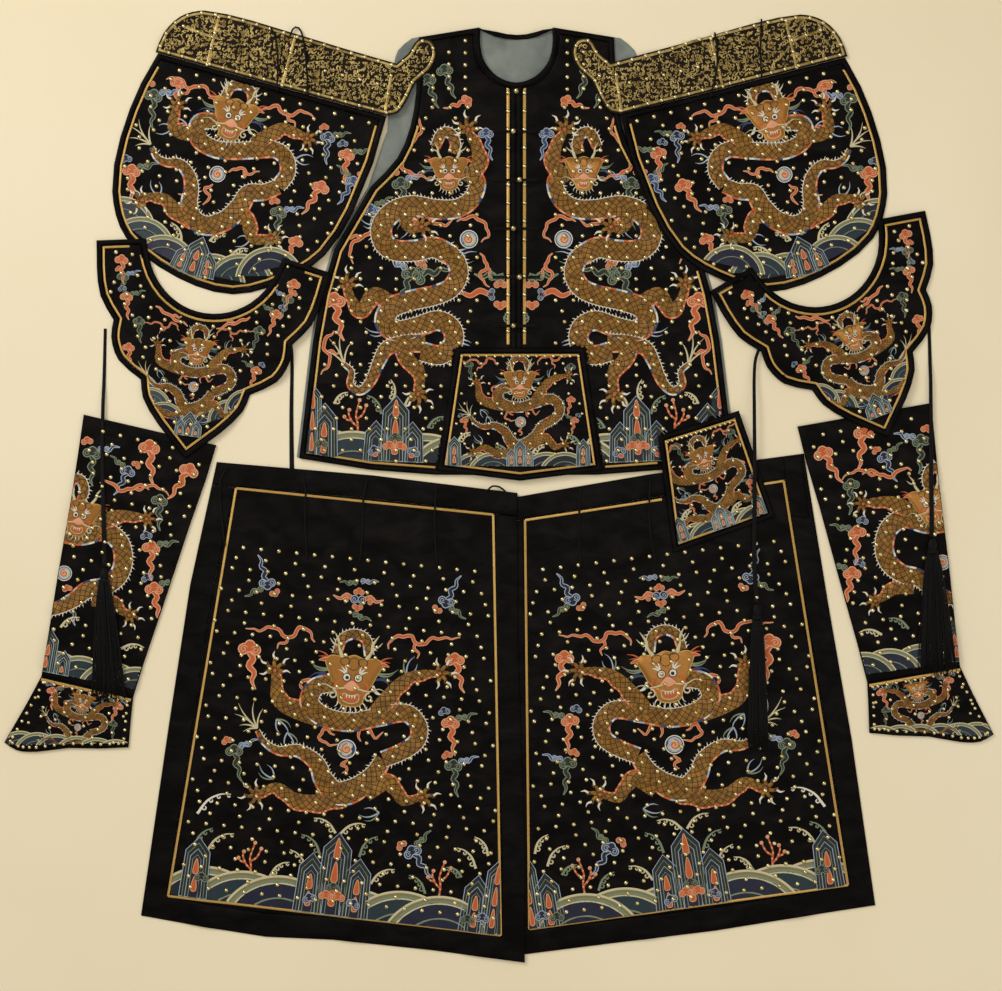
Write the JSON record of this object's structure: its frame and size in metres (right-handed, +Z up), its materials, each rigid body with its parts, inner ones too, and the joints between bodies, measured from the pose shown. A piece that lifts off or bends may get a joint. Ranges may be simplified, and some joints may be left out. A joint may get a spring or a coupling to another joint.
{
  "type": "ceremonial robe",
  "caption": "Suit of padded black satin court armour laid out flat: coat, shoulder and armpit guards, sleeves, flaps and a skirt of aprons, with gilt plates and ties.",
  "frame": {"origin": "under the middle of the laid out suit's box, on the surface that it lies on, ties, tassels and cords left out", "axes": "+X across the suit to the right as it is looked down on, +Y from the skirt's hem to the neck, +Z up out of the surface"},
  "size_m": [1.6308, 1.5682, 0.019],
  "materials": {
    "satin": "black silk satin, padded, embroidered in gold and coloured silks and set with gilt studs",
    "plain_satin": "plain black silk satin, soft sheen",
    "lining": "plain blue-grey cotton lining, matt",
    "gilt": "gilt openwork, a little worn",
    "silk_cord": "black silk cord and floss"
  },
  "bodies": {
    "root": {"vest_front_left": "satin", "vest_front_right": "satin", "shoulder_guard_left": "satin", "shoulder_guard_right": "satin", "armpit_guard_left": "satin", "armpit_guard_right": "satin", "sleeve_left": "satin", "sleeve_right": "satin", "cuff_left": "satin", "cuff_right": "satin", "front_flap": "satin", "side_flap": "satin", "skirt_field_left": "satin", "skirt_field_right": "satin", "vest_binding_left": "plain_satin", "vest_binding_right": "plain_satin", "neck_binding": "plain_satin", "shoulder_binding_left": "plain_satin", "shoulder_binding_right": "plain_satin", "armpit_binding_left": "plain_satin", "armpit_binding_right": "plain_satin", "front_flap_binding": "plain_satin", "side_flap_binding": "plain_satin", "skirt_border_left": "plain_satin", "skirt_border_right": "plain_satin", "skirt_waistband_left": "plain_satin", "skirt_waistband_right": "plain_satin", "waist_tab": "plain_satin", "frog_1": "plain_satin", "frog_2": "plain_satin", "frog_3": "plain_satin", "frog_4": "plain_satin", "frog_5": "plain_satin", "vest_back": "lining", "shoulder_plate_left": "gilt", "shoulder_plate_right": "gilt", "button_1": "gilt", "button_2": "gilt", "button_3": "gilt", "button_4": "gilt", "button_5": "gilt", "button_6": "gilt", "guard_tie_left_inner": "silk_cord", "guard_tie_left_outer": "silk_cord", "guard_tie_right_inner": "silk_cord", "guard_tie_right_outer": "silk_cord", "tassel_left": "silk_cord", "tassel_right": "silk_cord", "tassel_middle": "silk_cord", "shoulder_cord_left_1": "silk_cord", "shoulder_cord_left_2": "silk_cord", "shoulder_cord_right_1": "silk_cord", "shoulder_cord_right_2": "silk_cord", "waist_cord_1": "silk_cord", "waist_cord_2": "silk_cord", "waist_cord_3": "silk_cord", "waist_cord_4": "silk_cord", "waist_cord_5": "silk_cord", "waist_cord_6": "silk_cord", "waist_cord_7": "silk_cord"}
  },
  "joints": []
}
